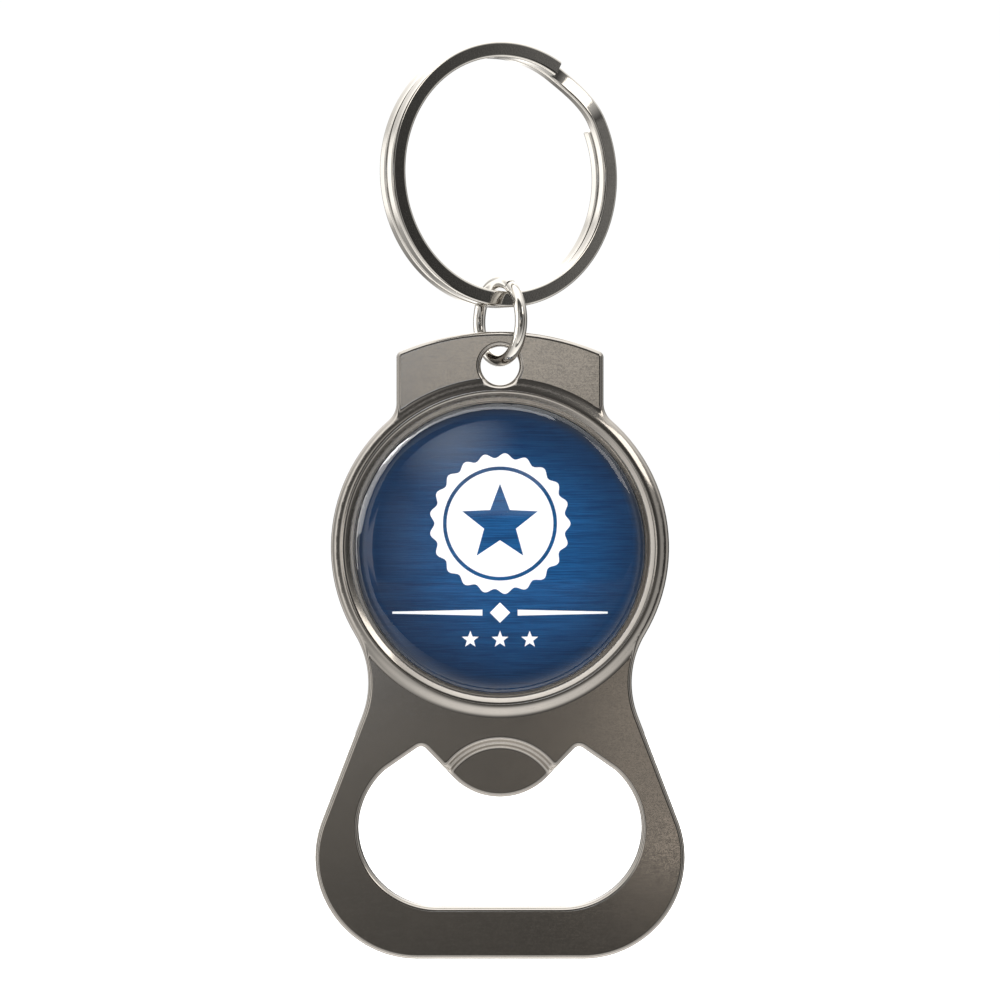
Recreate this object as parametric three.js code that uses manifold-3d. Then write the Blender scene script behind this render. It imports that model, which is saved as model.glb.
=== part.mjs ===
// Keychain bottle opener, hanging by its split ring.
//
// Millimetres. +X is to the right, +Z is up and the emblem faces -Y. The origin is the point that
// the opener hangs from: the middle of the split ring's inner surface, at the top.

import * as THREE from 'three';
import { mergeVertices } from 'three/addons/utils/BufferGeometryUtils.js';
import Module from 'manifold-3d';

const wasm = await Module();
wasm.setup();

const DEG = Math.PI / 180;
const quarterTurn = Math.PI / 2;
const fullTurn = 2 * Math.PI;

// ---------------------------------------------------------------------------------------------
// Driving dimensions
// ---------------------------------------------------------------------------------------------

// Split ring: two turns of flat spring wire. Angles run round the ring from its right-hand side,
// anticlockwise as seen from the front.
const splitRing = {
  innerRadius: 12.65,
  wireWidth: 1.75,        // along the ring's radius
  wireThickness: 1.38,    // along the ring's axis
  turnGap: 0.1,           // between the two turns
  turnedBy: 32 * DEG,     // about Z, left side forward
  frontEnd: 60 * DEG,     // where the front turn starts
  jogStart: 28 * DEG,     // the wire crosses from the front turn to the back turn
  jogEnd: 57 * DEG,
  backEnd: 24 * DEG,      // where the back turn stops
};

// Jump ring: round wire, butted, turned a quarter turn from the split ring.
const jumpRing = {
  meanRadius: 4.28,
  wireRadius: 0.67,
  buttAngle: 150 * DEG,   // round the ring from its lowest point
  buttGap: 0.08,
};

// Play between links that hang in each other.
const linkPlay = 0.1;

// Cast body. Heights in these three tables are measured from the centre of the round plate.
const plate = {
  thickness: 2.8,
  edgeBevel: 0.5,
  radius: 18.3,
  waistHalfWidth: 14.25,
  waistRadius: 10.1,
  hipX: 9.0,
  hipZ: -33.5,
  hipRadius: 11.0,
};

const tab = {
  halfWidth: 11.2,
  topZ: 23.4,
  topRadius: 27.9,
  cornerRadius: 0.7,
  rootRadius: 2.5,
  holeZ: 19.7,
  holeRadius: 2.1,
  holeRounding: 0.5,
};

const mouth = {
  tipZ: -27.05,           // lowest point of the tongue
  tipRadius: 7.15,
  tongueHalfWidth: 5.85,
  notchX: 8.45,
  notchZ: -21.3,
  notchRounding: 0.7,
  shoulderX: 12.2,
  shoulderZ: -23.9,
  shoulderPull: 1.45,     // how far the cheek follows the shoulder's slope, and the side's line
  sidePull: 3.0,
  halfWidth: 15.35,
  cornerRadius: 8.6,
  floorZ: -38.9,
};

// The lip that catches the crown cap: a step cut into the front of the tongue.
const capLip = {
  centreZ: -28.0,
  topRadius: 7.55,
  footRadius: 6.2,
  depth: 1.2,
};

// Raised bezel and what sits in its cup. Heights are above the plate's front face.
const bezel = {
  rootHeight: -1,         // sunk into the plate
  footRadius: 17.85,
  flankRadius: 17.45,
  flankHeight: 0.26,
  shoulderRadius: 17.2,
  shoulderHeight: 0.5,
  crestRadius: 16.9,
  crestHeight: 0.6,
  stepRadius: 16.25,
  stepHeight: 0.25,
  cupRadius: 15.8,
  cupFloor: -0.7,
};

const emblem = {
  radius: 15.6,
  filmThickness: 0.15,
  discThickness: 0.5,
  domeRadius: 15.7,
  domeEdge: 0.5,          // straight side of the dome
  domeRise: 1.1,          // crown above that side
  domeFullness: 0.9,      // 1 is an ellipse, and less swells its shoulder
};

// Smoothness of round shapes.
const steps = {
  chordError: 0.02,
  smallCurve: 3,
  curve: 6,
  bevel: 2,
  flare: 3,
  crown: 8,
  ring: 72,
  wire: 12,
  splitRingDegrees: 6,
  jumpRingDegrees: 7.5,
};

// How far a cutter reaches past the face that it opens.
const cutterReach = 1;

// ---------------------------------------------------------------------------------------------
// Places that follow from the driving dimensions
// ---------------------------------------------------------------------------------------------

const splitRingMean = splitRing.innerRadius + splitRing.wireWidth / 2;
const splitRingHalfDepth = splitRing.wireThickness + splitRing.turnGap / 2;
const splitRingCentreZ = -splitRing.innerRadius;
const splitRingBottomZ = splitRingCentreZ - splitRing.innerRadius;

// The jump ring's inner circle rests over the edges of the split ring's section.
const jumpRingInner = jumpRing.meanRadius - jumpRing.wireRadius;
const jumpRingSeat = Math.sqrt(jumpRingInner ** 2 - splitRingHalfDepth ** 2);
const jumpRingCentreZ = splitRingBottomZ - jumpRingSeat + linkPlay;

// The hole hangs on the jump ring's lower arc, which crosses the plate at an angle.
const holeBelowJumpRing = 4.83;
const plateCentreZ = jumpRingCentreZ - holeBelowJumpRing - tab.holeZ;

const frontY = -plate.thickness / 2;

// ---------------------------------------------------------------------------------------------
// Solids
// ---------------------------------------------------------------------------------------------

function closed(geometry) {
  const bare = geometry.clone();
  bare.deleteAttribute('normal');
  bare.deleteAttribute('uv');
  return mergeVertices(bare, 1e-4);
}

function toSolid(geometry) {
  const merged = closed(geometry);
  return new wasm.Manifold(new wasm.Mesh({
    numProp: 3,
    vertProperties: new Float32Array(merged.attributes.position.array),
    triVerts: new Uint32Array(merged.index.array),
  }));
}

function toGeometry(solid) {
  const result = solid.getMesh();
  const geometry = new THREE.BufferGeometry();
  geometry.setAttribute('position', new THREE.BufferAttribute(result.vertProperties, 3));
  geometry.setIndex(new THREE.BufferAttribute(result.triVerts, 1));
  return geometry;
}

// A solid of revolution about Y. The profile gives radius and height above the plate's front
// face, where height grows towards the viewer, so the points run from the back to the front.
function turned(profile) {
  const points = profile.map(([radius, height]) => new THREE.Vector2(radius, frontY - height));
  return new THREE.LatheGeometry(points.reverse(), steps.ring);
}

// Moves every vertex of a geometry to where place() puts it.
function bend(geometry, place) {
  const position = geometry.attributes.position;
  const vertex = new THREE.Vector3();
  for (let i = 0; i < position.count; i += 1) {
    vertex.fromBufferAttribute(position, i);
    place(vertex);
    position.setXYZ(i, vertex.x, vertex.y, vertex.z);
  }
  return geometry;
}

// Points along an arc, close enough together to stay within the chord error.
function arc(centre, radius, from, to) {
  const widest = 2 * Math.acos(1 - steps.chordError / radius);
  const count = Math.ceil(Math.abs(to - from) / widest);
  const points = [];
  for (let i = 0; i <= count; i += 1) {
    const angle = from + (to - from) * (i / count);
    points.push(new THREE.Vector2(Math.cos(angle), Math.sin(angle)).multiplyScalar(radius).add(centre));
  }
  return points;
}

// A closed outline from its right-hand half, which runs from the top to the bottom. Where two
// stretches meet, their shared point is kept once.
function mirrored(half) {
  const same = 1e-3;
  const right = half.filter((point, i) => i === 0 || point.distanceTo(half[i - 1]) > same);
  const left = right
    .filter((point) => point.x > same)
    .map((point) => new THREE.Vector2(-point.x, point.y))
    .reverse();
  return [...right, ...left].reverse();
}

// ---------------------------------------------------------------------------------------------
// Cast body
// ---------------------------------------------------------------------------------------------

// Right-hand half of the body: tab, round plate, waist and hip.
function bodyOutline() {
  const topCentre = new THREE.Vector2(0, tab.topZ - tab.topRadius);
  const cornerX = tab.halfWidth - tab.cornerRadius;
  const cornerRise = Math.sqrt((tab.topRadius - tab.cornerRadius) ** 2 - cornerX ** 2);
  const cornerCentre = new THREE.Vector2(cornerX, topCentre.y + cornerRise);
  const cornerAngle = Math.atan2(cornerRise, cornerX);

  const rootX = tab.halfWidth + tab.rootRadius;
  const rootZ = Math.sqrt((plate.radius + tab.rootRadius) ** 2 - rootX ** 2);
  const rootCentre = new THREE.Vector2(rootX, rootZ);
  const rootAngle = Math.atan2(rootZ, rootX);

  const waistX = plate.waistHalfWidth + plate.waistRadius;
  const waistZ = -Math.sqrt((plate.radius + plate.waistRadius) ** 2 - waistX ** 2);
  const waistCentre = new THREE.Vector2(waistX, waistZ);
  const waistAngle = Math.atan2(waistZ, waistX);

  // The line between waist and hip touches both arcs from opposite sides.
  const hipCentre = new THREE.Vector2(plate.hipX, plate.hipZ);
  const across = hipCentre.clone().sub(waistCentre);
  const lean = Math.acos((plate.waistRadius + plate.hipRadius) / across.length());
  const touch = across.angle() - lean;

  return mirrored([
    ...arc(topCentre, tab.topRadius, quarterTurn, cornerAngle),
    ...arc(cornerCentre, tab.cornerRadius, cornerAngle, 0),
    ...arc(rootCentre, tab.rootRadius, Math.PI, Math.PI + rootAngle),
    ...arc(new THREE.Vector2(), plate.radius, rootAngle, waistAngle),
    ...arc(waistCentre, plate.waistRadius, Math.PI + waistAngle, touch),
    ...arc(hipCentre, plate.hipRadius, touch - Math.PI, -quarterTurn),
  ]);
}

// Right-hand half of the mouth, from the tongue's tip round to the bottom bar.
function mouthOutline() {
  const tipCentre = new THREE.Vector2(0, mouth.tipZ + mouth.tipRadius);
  const tipEnd = -Math.acos(mouth.tongueHalfWidth / mouth.tipRadius);
  const tip = arc(tipCentre, mouth.tipRadius, -quarterTurn, tipEnd);

  const notch = new THREE.Vector2(mouth.notchX, mouth.notchZ);
  const shoulder = new THREE.Vector2(mouth.shoulderX, mouth.shoulderZ);
  const towards = (from) => from.clone().sub(notch).setLength(mouth.notchRounding).add(notch);
  const rounding = new THREE.QuadraticBezierCurve(towards(tip.at(-1)), notch, towards(shoulder));

  const cornerCentre = new THREE.Vector2(
    mouth.halfWidth - mouth.cornerRadius,
    mouth.floorZ + mouth.cornerRadius,
  );
  const side = new THREE.Vector2(mouth.halfWidth, cornerCentre.y);
  const leaveShoulder = shoulder.clone().sub(notch).setLength(mouth.shoulderPull).add(shoulder);
  const meetSide = side.clone().add(new THREE.Vector2(0, mouth.sidePull));
  const cheek = new THREE.CubicBezierCurve(shoulder, leaveShoulder, meetSide, side);

  return mirrored([
    ...tip,
    ...rounding.getPoints(steps.smallCurve),
    ...cheek.getPoints(steps.curve),
    ...arc(cornerCentre, mouth.cornerRadius, 0, -quarterTurn),
  ]);
}

// The flat plate, bevelled all round and round its mouth.
function plateSolid() {
  const shape = new THREE.Shape(bodyOutline());
  shape.holes.push(new THREE.Path(mouthOutline()));
  const geometry = new THREE.ExtrudeGeometry(shape, {
    depth: plate.thickness - 2 * plate.edgeBevel,
    bevelThickness: plate.edgeBevel,
    bevelSize: plate.edgeBevel,
    bevelOffset: -plate.edgeBevel,
    bevelSegments: steps.bevel,
  });
  geometry.translate(0, 0, plate.edgeBevel - plate.thickness / 2);
  geometry.rotateX(quarterTurn);
  return toSolid(geometry);
}

// The bezel's ring, sunk a little into the plate so that the two make one casting.
function bezelSolid() {
  return toSolid(turned([
    [bezel.footRadius, bezel.rootHeight],
    [bezel.footRadius, 0],
    [bezel.flankRadius, bezel.flankHeight],
    [bezel.shoulderRadius, bezel.shoulderHeight],
    [bezel.crestRadius, bezel.crestHeight],
    [bezel.stepRadius, bezel.stepHeight],
    [bezel.cupRadius, bezel.stepHeight],
    [bezel.cupRadius, bezel.rootHeight],
    [bezel.footRadius, bezel.rootHeight],
  ]));
}

function cupSolid() {
  return toSolid(turned([
    [0, bezel.cupFloor],
    [bezel.cupRadius, bezel.cupFloor],
    [bezel.cupRadius, bezel.crestHeight + cutterReach],
    [0, bezel.crestHeight + cutterReach],
  ]));
}

// The cutter for the cap lip: a cone frustum that opens towards the front.
function capLipSolid() {
  const widen = (capLip.topRadius - capLip.footRadius) / capLip.depth;
  const geometry = turned([
    [0, -capLip.depth],
    [capLip.footRadius, -capLip.depth],
    [capLip.topRadius + cutterReach * widen, cutterReach],
    [0, cutterReach],
  ]);
  geometry.translate(0, 0, capLip.centreZ);
  return toSolid(geometry);
}

// The cutter for the tab's hole, flared at both faces into a polished round edge.
function ringHoleSolid() {
  const halfThickness = plate.thickness / 2;
  const rim = halfThickness - tab.holeRounding;
  const flare = [];
  for (let i = 0; i <= steps.flare; i += 1) {
    const angle = (i / steps.flare) * quarterTurn;
    flare.push([
      tab.holeRadius + tab.holeRounding * (1 - Math.cos(angle)),
      rim + tab.holeRounding * Math.sin(angle),
    ]);
  }
  const outer = [tab.holeRadius + tab.holeRounding, halfThickness + cutterReach];
  const front = [...flare, outer];
  const back = front.map(([radius, y]) => [radius, -y]).reverse();
  const profile = [[0, -outer[1]], ...back, ...front, [0, outer[1]]];
  const points = profile.map(([radius, y]) => new THREE.Vector2(radius, y));
  const geometry = new THREE.LatheGeometry(points, steps.ring / 2);
  geometry.translate(0, 0, tab.holeZ);
  return toSolid(geometry);
}

function openerBody() {
  const casting = plateSolid()
    .add(bezelSolid())
    .subtract(cupSolid())
    .subtract(capLipSolid())
    .subtract(ringHoleSolid());
  return toGeometry(casting);
}

// ---------------------------------------------------------------------------------------------
// Emblem stack, from the cup's floor outwards
// ---------------------------------------------------------------------------------------------

const filmTop = bezel.cupFloor + emblem.filmThickness;
const discTop = filmTop + emblem.discThickness;

function roundSheet(radius, back, front) {
  return turned([[0, back], [radius, back], [radius, front], [0, front]]);
}

// The dome's edge is straight, then it closes over in a shallow crown.
function dome() {
  const edgeTop = discTop + emblem.domeEdge;
  const profile = [[0, discTop], [emblem.domeRadius, discTop]];
  for (let i = 0; i <= steps.crown; i += 1) {
    const angle = (i / steps.crown) * quarterTurn;
    const bulge = Math.sin(angle) ** emblem.domeFullness;
    profile.push([emblem.domeRadius * Math.cos(angle), edgeTop + emblem.domeRise * bulge]);
  }
  profile[profile.length - 1][0] = 0;
  return turned(profile);
}

// ---------------------------------------------------------------------------------------------
// Rings
// ---------------------------------------------------------------------------------------------

function smooth(t) {
  const clamped = Math.min(Math.max(t, 0), 1);
  return clamped * clamped * (3 - 2 * clamped);
}

// Both turns of the split ring, in its own plane XY with its front towards +Z. A straight bar is
// wound round the ring, and steps from the front turn to the back turn as it passes its own start.
function splitRingCoil() {
  const start = splitRing.frontEnd;
  const end = 2 * fullTurn + splitRing.backEnd;
  const sweep = end - start;
  const pieces = Math.round(sweep / (steps.splitRingDegrees * DEG));
  const pitch = splitRing.wireThickness + splitRing.turnGap;
  const bar = new THREE.BoxGeometry(
    sweep, splitRing.wireWidth, splitRing.wireThickness, pieces, 1, 1,
  );
  return bend(bar, (vertex) => {
    const angle = start + sweep / 2 + vertex.x;
    const radius = splitRingMean + vertex.y;
    const jog = (angle - fullTurn - splitRing.jogStart) / (splitRing.jogEnd - splitRing.jogStart);
    const layer = pitch * (0.5 - smooth(jog));
    vertex.set(radius * Math.cos(angle), radius * Math.sin(angle), layer - vertex.z);
  });
}

// The jump ring in its own plane XY: a round bar wound once round, ends butted.
function jumpRingLoop() {
  const sweep = fullTurn - jumpRing.buttGap / jumpRing.meanRadius;
  const pieces = Math.round(sweep / (steps.jumpRingDegrees * DEG));
  const bar = new THREE.CylinderGeometry(
    jumpRing.wireRadius, jumpRing.wireRadius, sweep, steps.wire, pieces,
  );
  return bend(bar, (vertex) => {
    const angle = vertex.y + jumpRing.buttAngle + quarterTurn;
    const radius = jumpRing.meanRadius + vertex.x;
    vertex.set(radius * Math.cos(angle), radius * Math.sin(angle), vertex.z);
  });
}

// ---------------------------------------------------------------------------------------------
// Assembly
// ---------------------------------------------------------------------------------------------

function finish(color, roughness, metalness, extra = {}) {
  return new THREE.MeshStandardMaterial({ color, roughness, metalness, ...extra });
}

const finishes = {
  gunmetal: finish(0x8a857e, 0.18, 1),
  nickel: finish(0xc4c1bb, 0.12, 1),
  film: finish(0xe8e6df, 0.8, 0),
  blue: finish(0x1f5a9e, 0.35, 0.7),
  resin: finish(0xf4f8fb, 0.05, 0, { transparent: true, opacity: 0.35 }),
};

function part(name, geometry, material) {
  const mesh = new THREE.Mesh(closed(geometry), material);
  mesh.name = name;
  return mesh;
}

const opener = new THREE.Group();
opener.position.set(0, 0, plateCentreZ);
opener.add(part('opener_body', openerBody(), finishes.gunmetal));
opener.add(part(
  'adhesive_film', roundSheet(emblem.radius, bezel.cupFloor, filmTop), finishes.film,
));
opener.add(part('emblem_disc', roundSheet(emblem.radius, filmTop, discTop), finishes.blue));
opener.add(part('resin_dome', dome(), finishes.resin));

// A ring stands upright and faces the front, then turns about Z.
function standing(mesh, turnedBy, centreZ) {
  mesh.rotation.set(quarterTurn, 0, turnedBy, 'ZYX');
  mesh.position.set(0, 0, centreZ);
  return mesh;
}

const keyRing = part('split_ring', splitRingCoil(), finishes.nickel);
const link = part('jump_ring', jumpRingLoop(), finishes.nickel);

const model = new THREE.Group();
model.add(opener);
model.add(standing(link, splitRing.turnedBy - quarterTurn, jumpRingCentreZ));
model.add(standing(keyRing, splitRing.turnedBy, splitRingCentreZ));

export default model;
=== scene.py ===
# Keychain bottle opener, hanging by its split ring.
#
# Metres. +X is to the right, +Z is up and the emblem faces -Y. The outlines of the opener are drawn
# flat, as (x, z) points measured from the centre of the round plate.

import math
from types import SimpleNamespace

import bmesh
import bpy
import numpy as np
from mathutils import Matrix, Vector
from mathutils.geometry import delaunay_2d_cdt


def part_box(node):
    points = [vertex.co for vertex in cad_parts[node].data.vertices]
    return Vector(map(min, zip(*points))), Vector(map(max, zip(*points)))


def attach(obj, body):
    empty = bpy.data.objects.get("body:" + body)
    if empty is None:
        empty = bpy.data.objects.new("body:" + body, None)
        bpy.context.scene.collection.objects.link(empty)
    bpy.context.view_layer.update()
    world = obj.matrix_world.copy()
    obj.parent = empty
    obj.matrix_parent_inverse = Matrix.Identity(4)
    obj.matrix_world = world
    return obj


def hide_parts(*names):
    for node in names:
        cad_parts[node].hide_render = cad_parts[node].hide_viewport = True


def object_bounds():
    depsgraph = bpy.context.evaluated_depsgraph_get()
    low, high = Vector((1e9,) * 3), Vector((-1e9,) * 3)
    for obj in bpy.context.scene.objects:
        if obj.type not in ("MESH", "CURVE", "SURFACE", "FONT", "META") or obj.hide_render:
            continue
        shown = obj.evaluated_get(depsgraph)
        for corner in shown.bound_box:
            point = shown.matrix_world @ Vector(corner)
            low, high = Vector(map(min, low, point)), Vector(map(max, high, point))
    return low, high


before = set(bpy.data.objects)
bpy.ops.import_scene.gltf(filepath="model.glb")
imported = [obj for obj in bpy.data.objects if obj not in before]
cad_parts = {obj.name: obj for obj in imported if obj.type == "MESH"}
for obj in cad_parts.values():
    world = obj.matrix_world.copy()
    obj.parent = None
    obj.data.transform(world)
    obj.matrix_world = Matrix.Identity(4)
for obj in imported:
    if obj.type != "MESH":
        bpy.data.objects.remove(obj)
cad_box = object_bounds()

MM = 0.001
DEG = math.pi / 180
QUARTER = math.pi / 2
TURN = 2 * math.pi


# ------------------------------------------------------------------------------------------------
# Dimensions
# ------------------------------------------------------------------------------------------------

def sizes(**lengths):
    """A named group of lengths, given in millimetres."""
    return SimpleNamespace(**{name: value * MM for name, value in lengths.items()})


body_low, body_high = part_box("opener_body")
film_low, film_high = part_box("adhesive_film")
disc_low, disc_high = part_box("emblem_disc")
dome_low, dome_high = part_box("resin_dome")
key_low, key_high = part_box("split_ring")
link_low, link_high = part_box("jump_ring")

CENTRE_Z = (dome_low.z + dome_high.z) / 2
BACK_Y = body_high.y
FRONT_Y = -BACK_Y

plate = sizes(
    radius=18.3, waist_half_width=14.25, waist_radius=10.1, hip_radius=11.0, edge_radius=0.5,
)
plate.hip_x = body_high.x - plate.hip_radius
plate.hip_z = body_low.z - CENTRE_Z + plate.hip_radius

tab = sizes(
    half_width=11.2, top_radius=27.9, corner_radius=0.7, root_radius=2.5,
    hole_z=19.7, hole_radius=2.1,
)
tab.top_z = body_high.z - CENTRE_Z

mouth = sizes(
    tip_z=-27.05, tip_radius=7.15, tongue_half_width=5.85, notch_x=8.45, notch_z=-21.3,
    notch_rounding=0.7, shoulder_x=12.2, shoulder_z=-23.9, shoulder_pull=1.45, side_pull=3.0,
    half_width=15.35, corner_radius=8.6, floor_z=-38.9,
)

# The lip that catches the crown cap drops in two slopes with a narrow ledge between them. Its
# easing makes the upper slope start late and the lower one end early.
lip = sizes(centre_z=-28.0, top_radius=7.75, ledge_radius=6.85, foot_radius=6.05, depth=1.2)
lip.ledge_share = 0.5
lip.easing = 2.5

# The bezel swells out of the plate's face to a crest. Inside it rounds over into a straight slope,
# which falls to a groove, and a thin ledge rises again round the cup. Heights are above the plate's
# front face.
bezel = sizes(
    foot_radius=18.45, crest_radius=17.0, crest_height=0.42, slope_radius=16.72,
    groove_radius=16.2, ledge_radius=16.05, ledge_height=0.18, cup_radius=15.82, cup_floor=-0.7,
)
bezel.inner_slope = 28 * DEG

# The dome's edge is straight, then rounds over a shoulder into a shallow crown.
dome = sizes(embed=0.03, edge_height=0.4, shoulder_width=2.3, crown_rise=0.35)
dome.radius = dome_high.x

sheet_edge = 0.04 * MM

# The print: a crown cap round a disc with a star cut out of it, a rule with a lozenge in its middle
# and a row of small stars.
ink = sizes(
    thickness=0.03, cap_z=2.6, cap_radius=7.6, cap_inner_radius=6.15, disc_radius=5.75,
    star_radius=4.3, rule_z=-7.0, rule_half_width=11.6, rule_half_height=0.32, rule_gap=1.9,
    lozenge_radius=1.1, row_z=-9.9, row_spacing=3.2, row_star_radius=0.95,
)
ink.rule_taper = 3
ink.star_points = 5
ink.star_depth = 0.42
ink.cap_teeth = 21
ink.cap_swing = 0.035

# Angles along a ring run anticlockwise from its right, as seen from its front.
split_ring = sizes(wire_width=1.75, wire_thickness=1.38, turn_gap=0.1, corner_radius=0.32)
split_ring.outer_radius = (key_high.z - key_low.z) / 2
split_ring.centre_z = (key_high.z + key_low.z) / 2
split_ring.turned_by = 32 * DEG
split_ring.front_end = 60 * DEG
split_ring.jog_start = 28 * DEG
split_ring.jog_end = 57 * DEG
split_ring.back_end = 24 * DEG
split_ring.end_bevel = 0.12 * MM

jump_ring = sizes(wire_radius=0.67, butt_gap=0.08, end_bevel=0.08)
jump_ring.outer_radius = (link_high.z - link_low.z) / 2
jump_ring.centre_z = (link_high.z + link_low.z) / 2
jump_ring.turned_by = split_ring.turned_by - QUARTER
jump_ring.butt_angle = 60 * DEG

ARC_STEP = 3 * DEG
SPRING_STEP = 1 * DEG
CURVE_POINTS = 14
ROUNDING_STEPS = 6
BEZEL_STEPS = 8
SHOULDER_STEPS = 22
CROWN_STEPS = 14
RING_SEGMENTS = 180
HOLE_SEGMENTS = 90
PRINT_SEGMENTS = 96
TOOTH_SEGMENTS = 12
WIRE_SEGMENTS = 28
OUTLINE_SPACING = 1.5 * MM
MOUTH_SPACING = 0.3 * MM
RELIEF_SPACING = 0.13 * MM
CREASE = 35 * DEG

# Points closer than this are one point.
TOUCHING = 1e-6


# ------------------------------------------------------------------------------------------------
# Flat drawing: points are rows (x, z)
# ------------------------------------------------------------------------------------------------

def about(centre, radius, angles):
    """Points at these angles about a centre. The radius is one number or one for each angle."""
    return np.array(centre) + np.column_stack([radius * np.cos(angles), radius * np.sin(angles)])


def arc(centre, radius, start, end):
    """Points along an arc, from one angle to another."""
    count = max(2, math.ceil(abs(end - start) / ARC_STEP))
    return about(centre, radius, np.linspace(start, end, count + 1))


def circle(centre, radius, segments=RING_SEGMENTS):
    """Points round a circle, anticlockwise, the first point not repeated."""
    return about(centre, radius, np.arange(segments) * (TURN / segments))


def bezier(controls):
    """Points along the Bezier curve of two, three or four control points."""
    t = np.linspace(0, 1, CURVE_POINTS)[:, None]
    points = [np.array(c)[None, :] for c in controls]
    while len(points) > 1:
        points = [a * (1 - t) + b * t for a, b in zip(points, points[1:])]
    return points[0]


def towards(start, goal, distance):
    """The point that lies a distance from start on the way to goal."""
    step = np.array(goal) - np.array(start)
    return np.array(start) + step * (distance / np.linalg.norm(step))


def joined(stretches):
    """One run of points out of several that meet end to end."""
    points = np.vstack(stretches)
    gaps = np.linalg.norm(np.diff(points, axis=0), axis=1)
    return points[np.concatenate([[True], gaps > TOUCHING])]


def mirrored(half):
    """A closed outline from its right-hand half, which runs from top to bottom on the axis."""
    left = half[half[:, 0] > TOUCHING] * (-1, 1)
    return np.vstack([half, left[::-1]])


def refined(loop, spacing):
    """The closed outline with points added wherever two are further apart than the spacing."""
    runs = []
    for a, b in zip(loop, np.roll(loop, -1, axis=0)):
        count = math.ceil(np.linalg.norm(b - a) / spacing)
        runs.append(a + (b - a) * (np.arange(count) / count)[:, None])
    return np.vstack(runs)


def inset(loop, distance):
    """The outline moved sideways to its left, with mitred corners."""
    before = loop - np.roll(loop, 1, axis=0)
    before /= np.linalg.norm(before, axis=1)[:, None]
    after = np.roll(before, -1, axis=0)
    left_before = np.column_stack([-before[:, 1], before[:, 0]])
    left_after = np.column_stack([-after[:, 1], after[:, 0]])
    mitre = (left_before + left_after) / (1 + (before * after).sum(axis=1))[:, None]
    return loop + mitre * distance


def inside(points, loops):
    """Which points lie inside an odd number of the outlines."""
    hits = np.zeros(len(points), int)
    x, z = points[:, 0], points[:, 1]
    for loop in loops:
        for (x0, z0), (x1, z1) in zip(loop, np.roll(loop, -1, axis=0)):
            if z0 == z1:
                continue
            crosses = (z0 > z) != (z1 > z)
            hits += crosses & (x < x0 + (z - z0) * (x1 - x0) / (z1 - z0))
    return hits % 2 == 1


def clear_of(points, loops, distance):
    """The points that keep at least a distance from every outline's points."""
    kept = points
    for loop in loops:
        gaps = np.min(np.linalg.norm(kept[:, None, :] - loop[None, :, :], axis=2), axis=1)
        kept = kept[gaps > distance]
    return kept


def triangles(loops, extra=None):
    """Fills the region between outlines. Returns triples of numbers into the outlines' points,
    one after another, followed by the extra points."""
    groups = list(loops) if extra is None else [*loops, extra]
    points = np.vstack(groups) / MM
    edges = []
    first = 0
    for loop in loops:
        numbers = range(first, first + len(loop))
        edges += [(n, n + 1) for n in numbers[:-1]]
        edges.append((numbers[-1], first))
        first += len(loop)
    flat = [Vector(p) for p in points]
    fill_hull, tolerance, give_origins = 0, 1e-7, True
    made, _, faces, origin, _, _ = delaunay_2d_cdt(
        flat, edges, [], fill_hull, tolerance, give_origins,
    )
    corners = np.array([[made[n] for n in face] for face in faces])
    keep = inside(corners.mean(axis=1), [loop / MM for loop in loops])
    return [[origin[n][0] for n in face] for face, kept in zip(faces, keep) if kept]


def smooth(t):
    """Eases from 0 to 1 as t does, flat at both ends."""
    t = np.clip(t, 0, 1)
    return t * t * (3 - 2 * t)


# ------------------------------------------------------------------------------------------------
# Meshes
# ------------------------------------------------------------------------------------------------

class Shell:
    """The vertices and faces of a piece's closed surface, gathered ring by ring."""

    def __init__(self):
        self.vertices = []
        self.faces = []

    def add(self, points):
        """Adds vertices and returns their numbers."""
        first = len(self.vertices)
        self.vertices.extend(tuple(p) for p in points)
        return list(range(first, len(self.vertices)))

    def band(self, near, far):
        """Joins two closed rings of equally many vertices with quads."""
        for i, n in enumerate(near):
            following = (i + 1) % len(near)
            self.faces.append((n, near[following], far[following], far[i]))

    def bands(self, rings):
        """Joins each ring to the next."""
        for near, far in zip(rings, rings[1:]):
            self.band(near, far)

    def fan(self, ring, point):
        """Closes a ring onto a single vertex."""
        centre = self.add([point])[0]
        for i, n in enumerate(ring):
            self.faces.append((n, ring[(i + 1) % len(ring)], centre))

    def piece(self, name, body, slot, material, replaced=()):
        """Makes the object, and rides it on its body."""
        mesh = bpy.data.meshes.new(name)
        mesh.from_pydata(self.vertices, [], self.faces)
        make_consistent(mesh)
        mesh.materials.append(material)
        piece = bpy.data.objects.new(name, mesh)
        bpy.context.scene.collection.objects.link(piece)
        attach(piece, body)
        if replaced:
            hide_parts(*replaced)
        return piece


def make_consistent(mesh):
    """Turns every face outwards."""
    solid = bmesh.new()
    solid.from_mesh(mesh)
    bmesh.ops.recalc_face_normals(solid, faces=solid.faces)
    solid.to_mesh(mesh)
    solid.free()


def standing(points, y):
    """Lifts flat points off the drawing, to a depth that is one number or one for each point."""
    y = np.broadcast_to(y, len(points))
    return np.column_stack([points[:, 0], y, points[:, 1] + CENTRE_Z])


def round_piece(profile):
    """A solid of revolution about the emblem's axis. The profile is (radius, y) points, from the
    axis at the back to the axis at the front; it leaves out the two points on the axis."""
    shell = Shell()
    rings = [shell.add(standing(circle((0, 0), r), y)) for r, y in profile]
    shell.bands(rings)
    shell.fan(rings[0], (0, profile[0][1], CENTRE_Z))
    shell.fan(rings[-1], (0, profile[-1][1], CENTRE_Z))
    return shell


def shade_smooth(piece):
    """Smooth shading, broken where faces meet at more than the crease angle."""
    mesh = piece.data
    mesh.shade_smooth()
    mesh.set_sharp_from_angle(angle=CREASE)


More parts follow.
